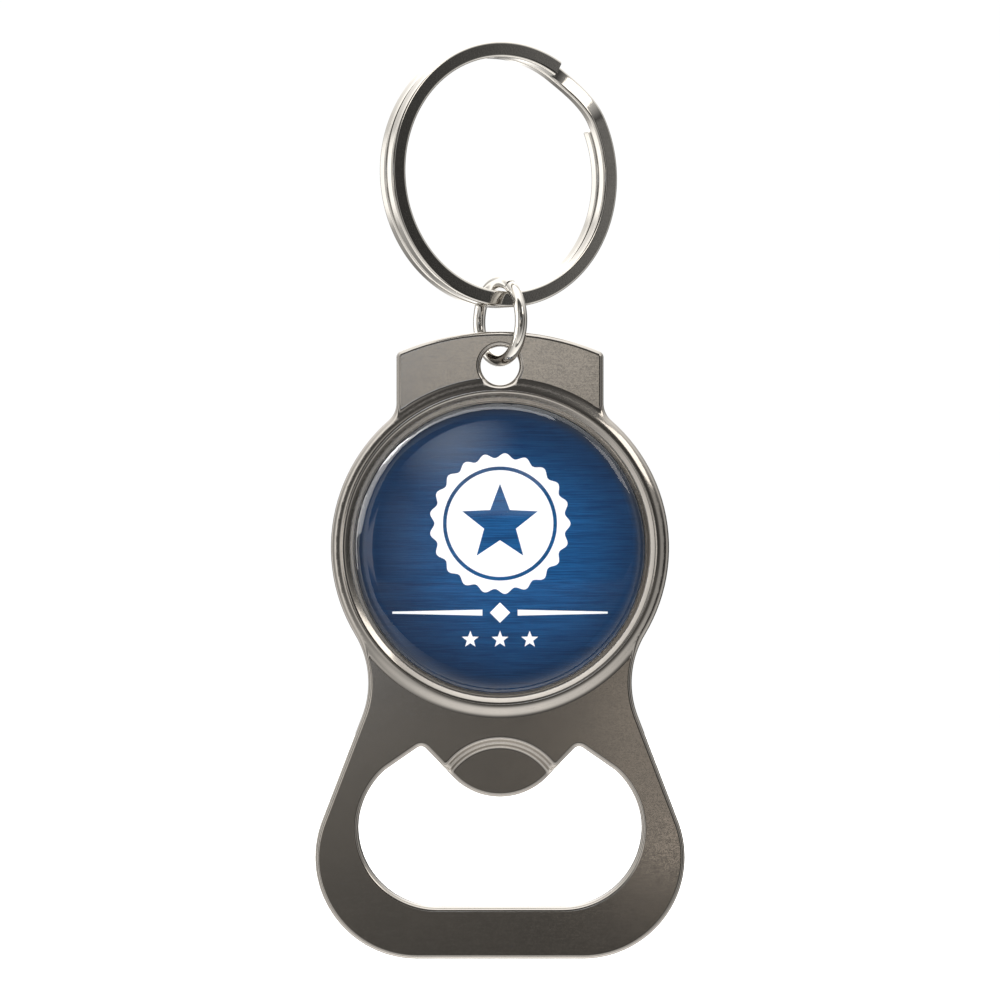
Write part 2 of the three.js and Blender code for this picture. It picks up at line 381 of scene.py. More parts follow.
def shade_flats(piece):
    """Smooth shading in which a flat front or back face keeps its own normal right to its edge,
    and only the rounding beyond it turns."""
    mesh = piece.data
    mesh.shade_smooth()
    normals = [Vector(v.normal) for v in mesh.vertices]
    nearly_one = 1 - 1e-6
    for face in mesh.polygons:
        if abs(face.normal.y) > nearly_one:
            for n in face.vertices:
                normals[n] = face.normal
    mesh.normals_split_custom_set_from_vertices(normals)


# ------------------------------------------------------------------------------------------------
# Casting
# ------------------------------------------------------------------------------------------------

def body_outline():
    """The opener's outer edge: tab, round plate, waist and hips."""
    top_centre = np.array((0, tab.top_z - tab.top_radius))
    corner_x = tab.half_width - tab.corner_radius
    corner_rise = math.sqrt((tab.top_radius - tab.corner_radius) ** 2 - corner_x ** 2)
    corner_centre = top_centre + (corner_x, corner_rise)
    corner_angle = math.atan2(corner_rise, corner_x)

    root_x = tab.half_width + tab.root_radius
    root_z = math.sqrt((plate.radius + tab.root_radius) ** 2 - root_x ** 2)
    root_angle = math.atan2(root_z, root_x)

    waist_x = plate.waist_half_width + plate.waist_radius
    waist_z = -math.sqrt((plate.radius + plate.waist_radius) ** 2 - waist_x ** 2)
    waist_angle = math.atan2(waist_z, waist_x)

    # The line between waist and hip touches both arcs from opposite sides.
    across_x, across_z = plate.hip_x - waist_x, plate.hip_z - waist_z
    lean = math.acos((plate.waist_radius + plate.hip_radius) / math.hypot(across_x, across_z))
    touch = math.atan2(across_z, across_x) - lean + TURN

    right = joined([
        arc(top_centre, tab.top_radius, QUARTER, corner_angle),
        arc(corner_centre, tab.corner_radius, corner_angle, 0),
        arc((root_x, root_z), tab.root_radius, math.pi, math.pi + root_angle),
        arc((0, 0), plate.radius, root_angle, waist_angle),
        arc((waist_x, waist_z), plate.waist_radius, math.pi + waist_angle, touch),
        arc((plate.hip_x, plate.hip_z), plate.hip_radius, touch - math.pi, -QUARTER),
        [(0, plate.hip_z - plate.hip_radius)],
    ])
    return mirrored(right)[::-1]


def mouth_outline():
    """The mouth's edge, from the tongue's tip round to the bottom bar."""
    tip_end = -math.acos(mouth.tongue_half_width / mouth.tip_radius)
    tip = arc((0, mouth.tip_z + mouth.tip_radius), mouth.tip_radius, -QUARTER, tip_end)
    notch = (mouth.notch_x, mouth.notch_z)
    shoulder = (mouth.shoulder_x, mouth.shoulder_z)
    corner_centre = (mouth.half_width - mouth.corner_radius, mouth.floor_z + mouth.corner_radius)
    side = (mouth.half_width, corner_centre[1])
    past_shoulder = towards(shoulder, notch, -mouth.shoulder_pull)
    above_side = (side[0], side[1] + mouth.side_pull)
    right = joined([
        tip,
        bezier([
            towards(notch, tip[-1], mouth.notch_rounding),
            notch,
            towards(notch, shoulder, mouth.notch_rounding),
        ]),
        bezier([shoulder, past_shoulder, above_side, side]),
        arc(corner_centre, mouth.corner_radius, 0, -QUARTER),
        [(0, mouth.floor_z)],
    ])
    return mirrored(right)


def relief(points):
    """How far the casting's front lies behind the plate's front face, at flat points."""
    radius = np.linalg.norm(points, axis=1)
    swell = (bezel.foot_radius - radius) / (bezel.foot_radius - bezel.crest_radius)
    reach = np.linalg.norm(points - (0, lip.centre_z), axis=1)
    upper = smooth((lip.top_radius - reach) / (lip.top_radius - lip.ledge_radius)) ** lip.easing
    lower = smooth((lip.ledge_radius - reach) / (lip.ledge_radius - lip.foot_radius))
    lower = 1 - (1 - lower) ** lip.easing
    drop = lip.depth * (lip.ledge_share * upper + (1 - lip.ledge_share) * lower)
    return drop - bezel.crest_height * smooth(swell)


def relief_points(loops):
    """Points inside the front face, dense enough to carry the bezel's swell and the lip."""
    swell = np.arange(bezel.crest_radius + RELIEF_SPACING, bezel.foot_radius, RELIEF_SPACING)
    rings = [circle((0, 0), r) for r in [*swell, bezel.foot_radius]]
    slope = np.arange(lip.foot_radius, lip.top_radius, RELIEF_SPACING / 2)
    lip_centre = (0, lip.centre_z)
    rings += [circle(lip_centre, r) for r in [*slope, lip.top_radius]]
    points = np.vstack(rings)
    points = points[inside(points, loops)]
    return clear_of(points, loops, RELIEF_SPACING / 2)


def bezel_profile():
    """From the crest inwards, as (radius, height) points: a rounding and a straight slope down to
    the groove, then the ledge and the cup. A point just before a bend keeps the shading of the
    stretch that leads up to it."""
    bend = (bezel.crest_radius - bezel.slope_radius) / math.sin(bezel.inner_slope)
    profile = []
    for i in range(1, BEZEL_STEPS + 1):
        angle = i / BEZEL_STEPS * bezel.inner_slope
        profile.append((
            bezel.crest_radius - bend * math.sin(angle),
            bezel.crest_height - bend * (1 - math.cos(angle)),
        ))
    slope_top = profile[-1][1]
    fall_rate = math.tan(bezel.inner_slope)
    groove_height = slope_top - (bezel.slope_radius - bezel.groove_radius) * fall_rate
    return profile + [
        (bezel.groove_radius + sheet_edge, groove_height + sheet_edge * fall_rate),
        (bezel.groove_radius, groove_height),
        (bezel.ledge_radius + sheet_edge, groove_height),
        (bezel.ledge_radius, bezel.ledge_height - sheet_edge),
        (bezel.ledge_radius - sheet_edge, bezel.ledge_height),
        (bezel.cup_radius + sheet_edge, bezel.ledge_height),
        (bezel.cup_radius, bezel.ledge_height - sheet_edge),
        (bezel.cup_radius, bezel.cup_floor),
    ]


def wall(shell, edge):
    """Builds the wall along one edge of the casting, with its roundings. Returns the outline where
    they meet the flat faces, and the numbers of its vertices in front and behind."""
    angles = [i / ROUNDING_STEPS * QUARTER for i in range(ROUNDING_STEPS + 1)]
    loops = [inset(edge, plate.edge_radius * (1 - math.cos(angle))) for angle in angles]
    drops = [plate.edge_radius * (1 - math.sin(angle)) for angle in angles]
    front, back = [], []
    for loop, drop in zip(loops, drops):
        front.append(shell.add(standing(loop, FRONT_Y + drop + relief(loop))))
        back.append(shell.add(standing(loop, BACK_Y - drop)))
    shell.bands(front)
    shell.bands(back)
    shell.band(front[0], back[0])
    return loops[-1], front[-1], back[-1]


def bezel_and_cup(shell, crest_ring):
    """Builds the bezel inwards from its crest, and the cup."""
    rings = [crest_ring]
    for radius, height in bezel_profile():
        rings.append(shell.add(standing(circle((0, 0), radius), FRONT_Y - height)))
    shell.bands(rings)
    shell.fan(rings[-1], (0, FRONT_Y - bezel.cup_floor, CENTRE_Z))


def casting(material):
    """The opener's body. Its front and back faces, the roundings along every edge and the bezel
    share their vertices, so that it is one closed surface."""
    shell = Shell()
    edges = [
        refined(body_outline(), OUTLINE_SPACING),
        refined(mouth_outline(), MOUTH_SPACING),
        circle((0, tab.hole_z), tab.hole_radius, HOLE_SEGMENTS)[::-1],
    ]
    back_loops, front_numbers, back_numbers = [], [], []
    for edge in edges:
        loop, front_ring, back_ring = wall(shell, edge)
        back_loops.append(loop)
        front_numbers += front_ring
        back_numbers += back_ring

    crest = circle((0, 0), bezel.crest_radius)
    crest_ring = shell.add(standing(crest, FRONT_Y - bezel.crest_height))
    front_loops = [*back_loops, crest]
    extra = relief_points(front_loops)
    front_numbers += crest_ring + shell.add(standing(extra, FRONT_Y + relief(extra)))
    shell.faces += [[front_numbers[n] for n in face] for face in triangles(front_loops, extra)]
    shell.faces += [[back_numbers[n] for n in face] for face in triangles(back_loops)]
    bezel_and_cup(shell, crest_ring)
    piece = shell.piece("opener_casting", "opener", "gunmetal", material, ["opener_body"])
    shade_flats(piece)
    return piece


# ------------------------------------------------------------------------------------------------
# Emblem stack
# ------------------------------------------------------------------------------------------------

def round_sheet(name, low, high, slot, material, node):
    """A disc with its edges broken by a small bevel."""
    radius = high.x
    profile = [
        (radius - sheet_edge, high.y),
        (radius, high.y - sheet_edge),
        (radius, low.y + sheet_edge),
        (radius - sheet_edge, low.y),
    ]
    piece = round_piece(profile).piece(name, "opener", slot, material, [node])
    shade_smooth(piece)
    return piece


def resin_dome(material):
    """The clear dome. Its back is let into the disc's face, as resin that has wetted it."""
    back = disc_low.y + dome.embed
    base = dome_high.y
    rise = (dome_high.y - dome_low.y) - dome.edge_height - dome.crown_rise
    shoulder_top = dome.radius - dome.shoulder_width
    crown_slope = 2 * dome.crown_rise / shoulder_top
    last = math.atan2(rise, dome.shoulder_width * crown_slope)
    profile = [(dome.radius - sheet_edge, back), (dome.radius, back - sheet_edge)]
    for i in range(SHOULDER_STEPS + 1):
        angle = i / SHOULDER_STEPS * last
        profile.append((
            shoulder_top + dome.shoulder_width * math.cos(angle),
            base - dome.edge_height - rise * math.sin(angle),
        ))
    rim, rim_y = profile[-1]
    for i in range(1, CROWN_STEPS):
        share = 1 - i / CROWN_STEPS
        profile.append((rim * share, rim_y + (dome_low.y - rim_y) * (1 - share ** 2)))
    piece = round_piece(profile).piece("dome", "opener", "clear_resin", material, ["resin_dome"])
    shade_smooth(piece)
    return piece


def star(centre, radius):
    """The outline of a star, anticlockwise from its top point."""
    corners = np.arange(ink.star_points * 2)
    angles = QUARTER + corners * (math.pi / ink.star_points)
    reach = np.where(corners % 2 == 0, radius, radius * ink.star_depth)
    return about(centre, reach, angles)


def crown_cap(centre, radius):
    """The outline of a crown cap seen from above, with its crimped edge."""
    count = ink.cap_teeth * TOOTH_SEGMENTS
    angles = np.arange(count) * (TURN / count)
    reach = radius * (1 - ink.cap_swing + ink.cap_swing * np.cos(ink.cap_teeth * angles))
    return about(centre, reach, angles)


def rule_bar(side):
    """The outline of half the rule, left (-1) or right (1) of the lozenge. It tapers outwards."""
    near, far = side * ink.rule_gap, side * ink.rule_half_width
    thick, thin = ink.rule_half_height, ink.rule_half_height / ink.rule_taper
    return np.array([(near, -thick), (far, -thin), (far, thin), (near, thick)]) + (0, ink.rule_z)


def emblem_figures():
    """The print's separate figures. Each is a list of outlines, the second a hole in the first."""
    cap_centre = (0, ink.cap_z)
    row = [(step * ink.row_spacing, ink.row_z) for step in (-1, 0, 1)]
    return [
        [
            crown_cap(cap_centre, ink.cap_radius),
            circle(cap_centre, ink.cap_inner_radius, PRINT_SEGMENTS),
        ],
        [circle(cap_centre, ink.disc_radius, PRINT_SEGMENTS), star(cap_centre, ink.star_radius)],
        [circle((0, ink.rule_z), ink.lozenge_radius, segments=4)],
        *([rule_bar(side)] for side in (-1, 1)),
        *([star(centre, ink.row_star_radius)] for centre in row),
    ]


def printed_emblem(material):
    """White ink, which stands on the disc and is let into it by as much."""
    shell = Shell()
    for loops in emblem_figures():
        front, back = [], []
        for loop in loops:
            front_ring = shell.add(standing(loop, disc_low.y - ink.thickness))
            back_ring = shell.add(standing(loop, disc_low.y + ink.thickness))
            shell.band(front_ring, back_ring)
            front += front_ring
            back += back_ring
        for face in triangles(loops):
            shell.faces.append([front[n] for n in face])
            shell.faces.append([back[n] for n in face])
    return shell.piece("emblem_print", "opener", "blue_aluminium", material)


# ------------------------------------------------------------------------------------------------
# Rings
# ------------------------------------------------------------------------------------------------

def wound(section, path, turned_by, centre_z, bevel):
    """A wire wound round an upright ring. The section is (outward, forward) points, and path gives
    the radius and the forward offset of the wire's middle at each angle. The ends are bevelled."""
    shell = Shell()
    place = Matrix.Translation((0, 0, centre_z)) @ Matrix.Rotation(turned_by, 4, "Z")
    reach = np.abs(section).max(axis=0)
    end_section = section * (1 - bevel / reach)
    stations = [(path[0], end_section), *((p, section) for p in path[1:-1]), (path[-1], end_section)]
    rings = []
    for (angle, radius, forward), shape in stations:
        ring = []
        for outward, ahead in shape:
            flat = Vector(((radius + outward) * math.cos(angle), -(forward + ahead),
                           (radius + outward) * math.sin(angle)))
            ring.append(place @ flat)
        rings.append(shell.add(ring))
    shell.bands(rings)
    shell.faces.append(rings[0])
    shell.faces.append(rings[-1])
    return shell


def with_bevelled_ends(angles, bevel_angle):
    """The angles along a wire, with one close to each end for the bevel to start from."""
    return [angles[0], angles[0] + bevel_angle, *angles[1:-1], angles[-1] - bevel_angle, angles[-1]]


def rounded_rectangle(width, height, radius):
    """Points round a rectangle with rounded corners, centred on the origin. Each side has a point
    of its own close to either corner, which keeps its shading flat."""
    x, z = width / 2 - radius, height / 2 - radius
    corners = [((x, z), 0), ((-x, z), QUARTER), ((-x, -z), math.pi), ((x, -z), -QUARTER)]
    lead = radius / ROUNDING_STEPS
    runs = []
    for corner, start in corners:
        turn = arc(corner, radius, start, start + QUARTER)
        before = (lead * math.sin(start), -lead * math.cos(start))
        after = (-lead * math.cos(start), -lead * math.sin(start))
        runs += [turn[:1] + before, turn, turn[-1:] + after]
    return np.vstack(runs)


def key_ring(material):
    """Two turns of flat spring wire, which step from the front turn to the back one."""
    ring = split_ring
    mean = ring.outer_radius - ring.wire_width / 2
    pitch = ring.wire_thickness + ring.turn_gap
    end = 2 * TURN + ring.back_end
    count = math.ceil((end - ring.front_end) / SPRING_STEP)
    angles = with_bevelled_ends(np.linspace(ring.front_end, end, count), ring.end_bevel / mean)
    path = []
    for angle in angles:
        jog = smooth((angle - TURN - ring.jog_start) / (ring.jog_end - ring.jog_start))
        path.append((angle, mean, pitch * (0.5 - jog)))
    section = rounded_rectangle(ring.wire_width, ring.wire_thickness, ring.corner_radius)
    shell = wound(section, path, ring.turned_by, ring.centre_z, ring.end_bevel)
    piece = shell.piece("key_ring", "key_ring", "bright_nickel", material, ["split_ring"])
    shade_smooth(piece)
    weigh_normals(piece)
    return piece


def link(material):
    """The jump ring: round wire bent once round, ends butted."""
    ring = jump_ring
    mean = ring.outer_radius - ring.wire_radius
    half_gap = ring.butt_gap / mean / 2
    start = ring.butt_angle + half_gap
    end = ring.butt_angle + TURN - half_gap
    count = math.ceil((end - start) / ARC_STEP)
    angles = with_bevelled_ends(np.linspace(start, end, count + 1), ring.end_bevel / mean)
    path = [(angle, mean, 0) for angle in angles]
    section = circle((0, 0), ring.wire_radius, WIRE_SEGMENTS)
    shell = wound(section, path, ring.turned_by, ring.centre_z, ring.end_bevel)
    piece = shell.piece("jump_link", "link", "bright_nickel", material, ["jump_ring"])
    shade_smooth(piece)
    return piece


def weigh_normals(piece):
    """Lets the large flat faces decide the shading next to narrow roundings."""
    modifier = piece.modifiers.new("Weighted normals", "WEIGHTED_NORMAL")
    modifier.keep_sharp = True
    modifier.weight = 90


# ------------------------------------------------------------------------------------------------
# Materials
# ------------------------------------------------------------------------------------------------

class Nodes:
    """A material's node tree, with short ways to add to it."""

    def __init__(self, name):
        self.material = bpy.data.materials.new(name)
        self.material.use_nodes = True
        self.tree = self.material.node_tree
        self.shader = self.tree.nodes["Principled BSDF"]

    @classmethod
    def of_tree(cls, tree):
        """The same short ways for a tree that is no material's, such as the world's."""
        nodes = cls.__new__(cls)
        nodes.tree = tree
        return nodes

    def add(self, kind, inputs=None, **settings):
        """Adds a node, with its settings and what goes into its sockets."""
        node = self.tree.nodes.new(kind)
        for name, value in settings.items():
            setattr(node, name, value)
        for name, value in (inputs or {}).items():
            self.put(node.inputs[name], value)
        return node

    def put(self, socket, value):
        """Sets a socket, or links it if the value is another node's output."""
        if isinstance(value, bpy.types.NodeSocket):
            self.tree.links.new(value, socket)
        else:
            socket.default_value = value

    def set(self, **values):
        """Sets or links the shader's own sockets."""
        for name, value in values.items():
            self.put(self.shader.inputs[name.replace("_", " ")], value)

    def place(self, scale=(1, 1, 1)):
        """Object coordinates in millimetres, stretched by a scale."""
        where = self.add("ShaderNodeTexCoord").outputs["Object"]
        scaled = tuple(s / MM for s in scale)
        mapping = self.add("ShaderNodeMapping", {"Vector": where, "Scale": scaled})
        return mapping.outputs["Vector"]

    def noise(self, where, scale, detail, roughness=0.5):
        """A noise about 0.5, with this many features to the unit."""
        node = self.add("ShaderNodeTexNoise", {
            "Vector": where, "Scale": scale, "Detail": detail, "Roughness": roughness,
        })
        return node.outputs["Fac"]

    def ramp(self, fac, low, high, to_low=0.0, to_high=1.0, kind="SMOOTHSTEP"):
        """Maps a stretch of values onto another, eased at both ends unless it is linear."""
        node = self.add("ShaderNodeMapRange", {
            "Value": fac, "From Min": low, "From Max": high, "To Min": to_low, "To Max": to_high,
        }, interpolation_type=kind)
        return node.outputs["Result"]

    def distance(self, where, centre):
        """How far a place lies from a centre."""
        node = self.add("ShaderNodeVectorMath", {0: where, 1: centre}, operation="DISTANCE")
        return node.outputs["Value"]

    def math(self, operation, a, b):
        """Joins two numbers by an operation."""
        node = self.add("ShaderNodeMath", operation=operation)
        self.put(node.inputs[0], a)
        self.put(node.inputs[1], b)
        return node.outputs[0]

    def mix(self, fac, a, b):
        """A colour that goes from a to b as fac goes from 0 to 1."""
        node = self.add("ShaderNodeMix", data_type="RGBA")
        self.put(node.inputs["Factor"], fac)
        self.put(node.inputs["A"], a)
        self.put(node.inputs["B"], b)
        return node.outputs["Result"]

    def bump(self, height, strength, distance):
        """A normal tilted by a height. A height of 1 stands for the distance."""
        node = self.add("ShaderNodeBump", {
            "Height": height, "Strength": strength, "Distance": distance,
        })
        return node.outputs["Normal"]


def colour(red, green, blue):
    """A solid colour in linear light, for a colour socket."""
    return (red, green, blue, 1.0)


def plated_metal(name, base, worn, roughness, grain):
    """Plated metal: the finish clouds slightly, and carries fine hairlines and specks."""
    nodes = Nodes(name)
    clouds = nodes.noise(nodes.place(), scale=0.35, detail=3.0)
    specks = nodes.noise(nodes.place(), scale=6.0, detail=3.0)
    hairlines = nodes.noise(nodes.place((0.35, 1, 9)), scale=1.6, detail=4.0, roughness=0.6)
    tone = nodes.ramp(clouds, 0.3, 0.7)
    nodes.set(
        Base_Color=nodes.mix(tone, base, worn),
        Metallic=1.0,
        Roughness=nodes.math(
            "ADD",
            nodes.ramp(specks, 0.35, 0.75, to_low=roughness * 0.8, to_high=roughness * 1.3),
            nodes.ramp(hairlines, 0.45, 0.8, to_high=roughness * 0.5),
        ),
        Normal=nodes.bump(nodes.math("ADD", hairlines, specks), strength=grain, distance=0.01 * MM),
    )
    return nodes.material


def brushed_blue():
    """Anodised aluminium, brushed from side to side. Its colour carries painted light: a painted
    highlight, brightest near its middle, painted shade darker towards its rim, and a nearly black
    painted shade at its edge that reaches further in at the top."""
    nodes = Nodes("brushed_blue")
    fine = nodes.noise(nodes.place((0.25, 1, 12)), scale=1.0, detail=3.0, roughness=0.7)
    broad = nodes.noise(nodes.place((0.05, 1, 1.6)), scale=1.0, detail=2.0)
    grain = nodes.math("ADD", nodes.math("MULTIPLY", fine, 0.82), nodes.math("MULTIPLY", broad, 0.18))
    # Painted light: a lit and a shaded copy of the blue, both carrying the brushing grain.
    lit = nodes.mix(nodes.ramp(grain, 0.37, 0.63), colour(0.003, 0.056, 0.18), colour(0.009, 0.112, 0.315))
    painted_shade_blue = nodes.mix(nodes.ramp(grain, 0.3, 0.7), colour(0.003, 0.02, 0.065), colour(0.006, 0.036, 0.1))
    # A nearly black painted shade for the disc's edge.
    black = colour(0.008, 0.012, 0.018)
    # The painted highlight is centred a little right of and below the middle. The painted edge shade is
    # measured from a point below the middle, so it reaches further in at the top.
    painted_highlight_centre = (1.5, 0.0, CENTRE_Z / MM - 0.5)
    painted_edge_shade_centre = (0.0, 0.0, CENTRE_Z / MM - 0.4)
    # rim fades the painted highlight into painted shade; edge brings in the painted edge shade.
    rim = nodes.ramp(nodes.distance(nodes.place(), painted_highlight_centre), 4.5, 15.5)
    edge = nodes.ramp(nodes.distance(nodes.place(), painted_edge_shade_centre), 14.2, 15.8)
    nodes.set(
        Base_Color=nodes.mix(edge, nodes.mix(rim, lit, painted_shade_blue), black),
        Metallic=0.75,
        Roughness=nodes.ramp(grain, 0.3, 0.7, to_low=0.3, to_high=0.42),
        Normal=nodes.bump(grain, strength=0.15, distance=0.02 * MM),
    )
    return nodes.material


def white_ink():
    """Screen-printed ink, a little uneven in thickness."""
    nodes = Nodes("white_ink")
    mottle = nodes.noise(nodes.place(), scale=9.0, detail=3.0)
    nodes.set(
        Base_Color=nodes.mix(mottle, colour(0.86, 0.87, 0.88), colour(0.95, 0.95, 0.95)),
        Roughness=nodes.ramp(mottle, 0.3, 0.7, to_low=0.4, to_high=0.55),
        Normal=nodes.bump(mottle, strength=0.1, distance=0.01 * MM),
    )
    return nodes.material


def clear_resin():
    """Cast resin: clear, with faint scuffs and dust on its crown."""
    nodes = Nodes("clear_resin")
    scuffs = nodes.noise(nodes.place((1, 1, 2.5)), scale=0.5, detail=4.0, roughness=0.7)
    dust = nodes.noise(nodes.place(), scale=3.5, detail=2.0)
    marks = nodes.math("MAXIMUM", nodes.ramp(scuffs, 0.62, 0.75), nodes.ramp(dust, 0.72, 0.8))
    nodes.set(
        Base_Color=colour(0.98, 0.99, 1.0),
        Transmission_Weight=1.0,
        IOR=1.56,
        Roughness=nodes.math("MULTIPLY", marks, 0.06),
        Normal=nodes.bump(marks, strength=0.05, distance=0.01 * MM),
    )
    return nodes.material


def adhesive():
    """Double-sided film: milky, with the mottle of its liner."""
    nodes = Nodes("adhesive_film_face")
    mottle = nodes.noise(nodes.place(), scale=1.4, detail=4.0)
    nodes.set(
        Base_Color=nodes.mix(mottle, colour(0.72, 0.71, 0.66), colour(0.86, 0.85, 0.8)),
        Roughness=nodes.ramp(mottle, 0.3, 0.7, to_low=0.55, to_high=0.8),
        Normal=nodes.bump(mottle, strength=0.3, distance=0.02 * MM),
    )
    return nodes.material


# ------------------------------------------------------------------------------------------------
# Studio
# ------------------------------------------------------------------------------------------------

def staged(name, vertices, faces, material):
    """A surface that belongs to the studio."""
    mesh = bpy.data.meshes.new(name)
    mesh.from_pydata(vertices, [], faces)
    mesh.materials.append(material)
    piece = bpy.data.objects.new(name, mesh)
    bpy.context.scene.collection.objects.link(piece)
    return piece


def pale_floor():
    """A pale floor well below the object. It isn't mirrored in the metal."""
    nodes = Nodes("pale_floor")
    mottle = nodes.noise(nodes.place(), scale=0.02, detail=2.0)
    nodes.set(
        Base_Color=nodes.mix(mottle, colour(0.86, 0.86, 0.86), colour(0.9, 0.9, 0.9)),
        Roughness=0.6,
        Emission_Color=colour(1, 1, 1),
        Emission_Strength=0.75,
    )
    half = 4.0
    z = -0.25
    corners = [(-half, -half, z), (half, -half, z), (half, half, z), (-half, half, z)]
    floor = staged("floor", corners, [range(len(corners))], nodes.material)
    floor.visible_glossy = False


def glowing(name):
    """A black material that gives off an even white light."""
    nodes = Nodes(name)
    nodes.set(Base_Color=colour(0, 0, 0), Emission_Color=colour(1, 1, 1), Emission_Strength=1.0)
    return nodes


def backdrop():
    """White paper all round, seen only directly by the camera, so it lights nothing."""
    radius = 3.5
    low = -0.6
    high = 4.0
    sides = 48
    ring = circle((0, 0), radius, sides)
    vertices = [(x, y, low) for x, y in ring] + [(x, y, high) for x, y in ring]
    faces = [(i, (i + 1) % sides, sides + (i + 1) % sides, sides + i) for i in range(sides)]
    paper = staged("backdrop", vertices, faces, glowing("white_paper").material)
    paper.visible_diffuse = False
    paper.visible_glossy = False
    paper.visible_transmission = False
    paper.visible_shadow = False


# The card behind the camera stands twice as far off as the camera does, so that a flat face mirrors
# three times its own size there. The stops are its light at each height.
CAMERA_DISTANCE = 0.5
card = SimpleNamespace(
    y=-2 * CAMERA_DISTANCE, half_width=0.4, low=-0.245, high=0.3,
    stops_low=-0.2, stops_high=0.1,
    stops=[(-0.194, 0.1), (-0.18, 0.12), (-0.155, 0.18), (-0.12, 0.23), (-0.1065, 0.26),
           (-0.098, 0.07), (0.1, 0.07)],
    warm=(1.0, 0.94, 0.86),
    cool=(0.92, 1.0, 1.12),
)


def reflector():
    """The card that the flat faces mirror. It brightens upwards to where the bezel begins, is dim
    above that and fades to the right. Four zones are lit besides: a flank and a veil on the left
    that glance off the bezel and the dome, a round spot for the dome's highlight and a window that
    lights the tab."""
    nodes = glowing("reflector_card")
    where = nodes.add("ShaderNodeTexCoord").outputs["Object"]
    split = nodes.add("ShaderNodeSeparateXYZ", {0: where})
    x, z = split.outputs["X"], split.outputs["Z"]

    up = nodes.ramp(z, card.stops_low, card.stops_high, kind="LINEAR")
    height = nodes.add("ShaderNodeValToRGB", {"Fac": up})
    span = card.stops_high - card.stops_low
    stops = [((at - card.stops_low) / span, tinted(card.warm, value)) for at, value in card.stops]
    set_stops(height.color_ramp, stops)
    fade = nodes.ramp(x, -0.055, 0.02, to_low=1.04, to_high=0.7)
    tone = nodes.add("ShaderNodeVectorMath", {0: height.outputs["Color"], 1: fade}, operation="MULTIPLY")
    shade = tone.outputs["Vector"]

    flank = window(nodes, x, z, (-0.4, -0.17), (-0.11, -0.01), blur=0.02)
    veil = window(nodes, x, z, (-0.13, -0.035), (-0.1, 0.0), blur=0.025)
    highlight = spot(nodes, x, z, (-0.055, 0.06), radius=0.085)
    lit_tab = window(nodes, x, z, (-0.042, 0.048), (-0.026, 0.028), blur=0.006)
    across_tab = nodes.ramp(x, -0.03, 0.03)
    for zone, light in (
        (flank, tinted(card.warm, 1.2)),
        (veil, tinted(card.cool, 0.4)),
        (highlight, tinted(card.cool, 1.9)),
        (lit_tab, nodes.mix(across_tab, tinted(card.warm, 0.76), tinted(card.warm, 0.98))),
    ):
        shade = nodes.mix(zone, shade, light)
    nodes.set(Emission_Color=shade)

    half, y = card.half_width, card.y
    corners = [(-half, y, card.low), (half, y, card.low), (half, y, card.high), (-half, y, card.high)]
    sheet = staged("reflector_card", corners, [range(len(corners))], nodes.material)
    sheet.visible_camera = False


def window(nodes, x, z, x_span, z_span, blur):
    """1 inside an upright rectangle on the card, fading to 0 across its blurred edges."""
    share = 1.0
    for value, (low, high) in ((x, x_span), (z, z_span)):
        for side in (
            nodes.ramp(value, low - blur, low + blur),
            nodes.ramp(value, high + blur, high - blur),
        ):
            share = nodes.math("MULTIPLY", share, side)
    return share


def tinted(tint, value):
    """A tint at some brightness, as a colour."""
    return colour(*(value * channel for channel in tint))


def spot(nodes, x, z, centre, radius):
    """1 at the middle of a circle on the card, fading to 0 at its edge."""
    on_card = nodes.add("ShaderNodeCombineXYZ", {"X": x, "Z": z}).outputs[0]
    return nodes.ramp(nodes.distance(on_card, (centre[0], 0.0, centre[1])), radius, 0.0)


def set_stops(ramp, stops):
    """Gives a colour ramp these (position, colour) stops."""
    while len(ramp.elements) < len(stops):
        ramp.elements.new(1.0)
    for element, (position, tone) in zip(ramp.elements, stops):
        element.position = position
        element.color = tone


def softbox(name, centre, aim, width, height, radiance, tint=(1, 1, 1), only=None):
    """A rectangular soft light of a given brightness, aimed at a point. It can be for the pieces
    of one collection only."""
    light = bpy.data.lights.new(name, "AREA")
    light.shape = "RECTANGLE"
    light.size = width
    light.size_y = height
    light.energy = radiance * math.pi * width * height
    light.color = tint
    lamp = bpy.data.objects.new(name, light)
    lamp.location = centre
    direction = Vector(aim) - Vector(centre)
    lamp.rotation_mode = "QUATERNION"
    lamp.rotation_quaternion = direction.to_track_quat("-Z", "Y")
    bpy.context.scene.collection.objects.link(lamp)
    lamp.visible_camera = False
    lamp.light_linking.receiver_collection = only
    return lamp


def lamp_from(name, azimuth, elevation, **settings):
    """A soft light aimed at the emblem from this direction. Azimuth 0 is towards the camera, and it
    grows to the right."""
    distance = 1.3
    across = distance * math.cos(elevation * DEG)
    centre = (
        across * math.sin(azimuth * DEG),
        -across * math.cos(azimuth * DEG),
        CENTRE_Z + distance * math.sin(elevation * DEG),
    )
    return softbox(name, centre, (0, 0, CENTRE_Z), **settings)


def gathered(name, members):
    """A collection that a lamp can be linked to."""
    group = bpy.data.collections.new(name)
    for member in members:
        group.objects.link(member)
    return group


def lights(jump_link, resin):
    """A lamp on the right for everything, one on the left for the jump ring and the dome, and one
    at the upper left for the dome alone."""
    lamp_from("jog_light", 40, 25, width=0.4, height=0.4, radiance=2.4, tint=(1.0, 0.95, 0.88))
    lamp_from("left_side", -84, 6, width=0.5, height=0.7, radiance=4.5, tint=(1.0, 0.98, 0.95),
              only=gathered("left_lit", [jump_link, resin]))
    lamp_from("upper_left", -72, 40, width=0.7, height=0.3, radiance=14.0,
              only=gathered("upper_lit", [resin]))


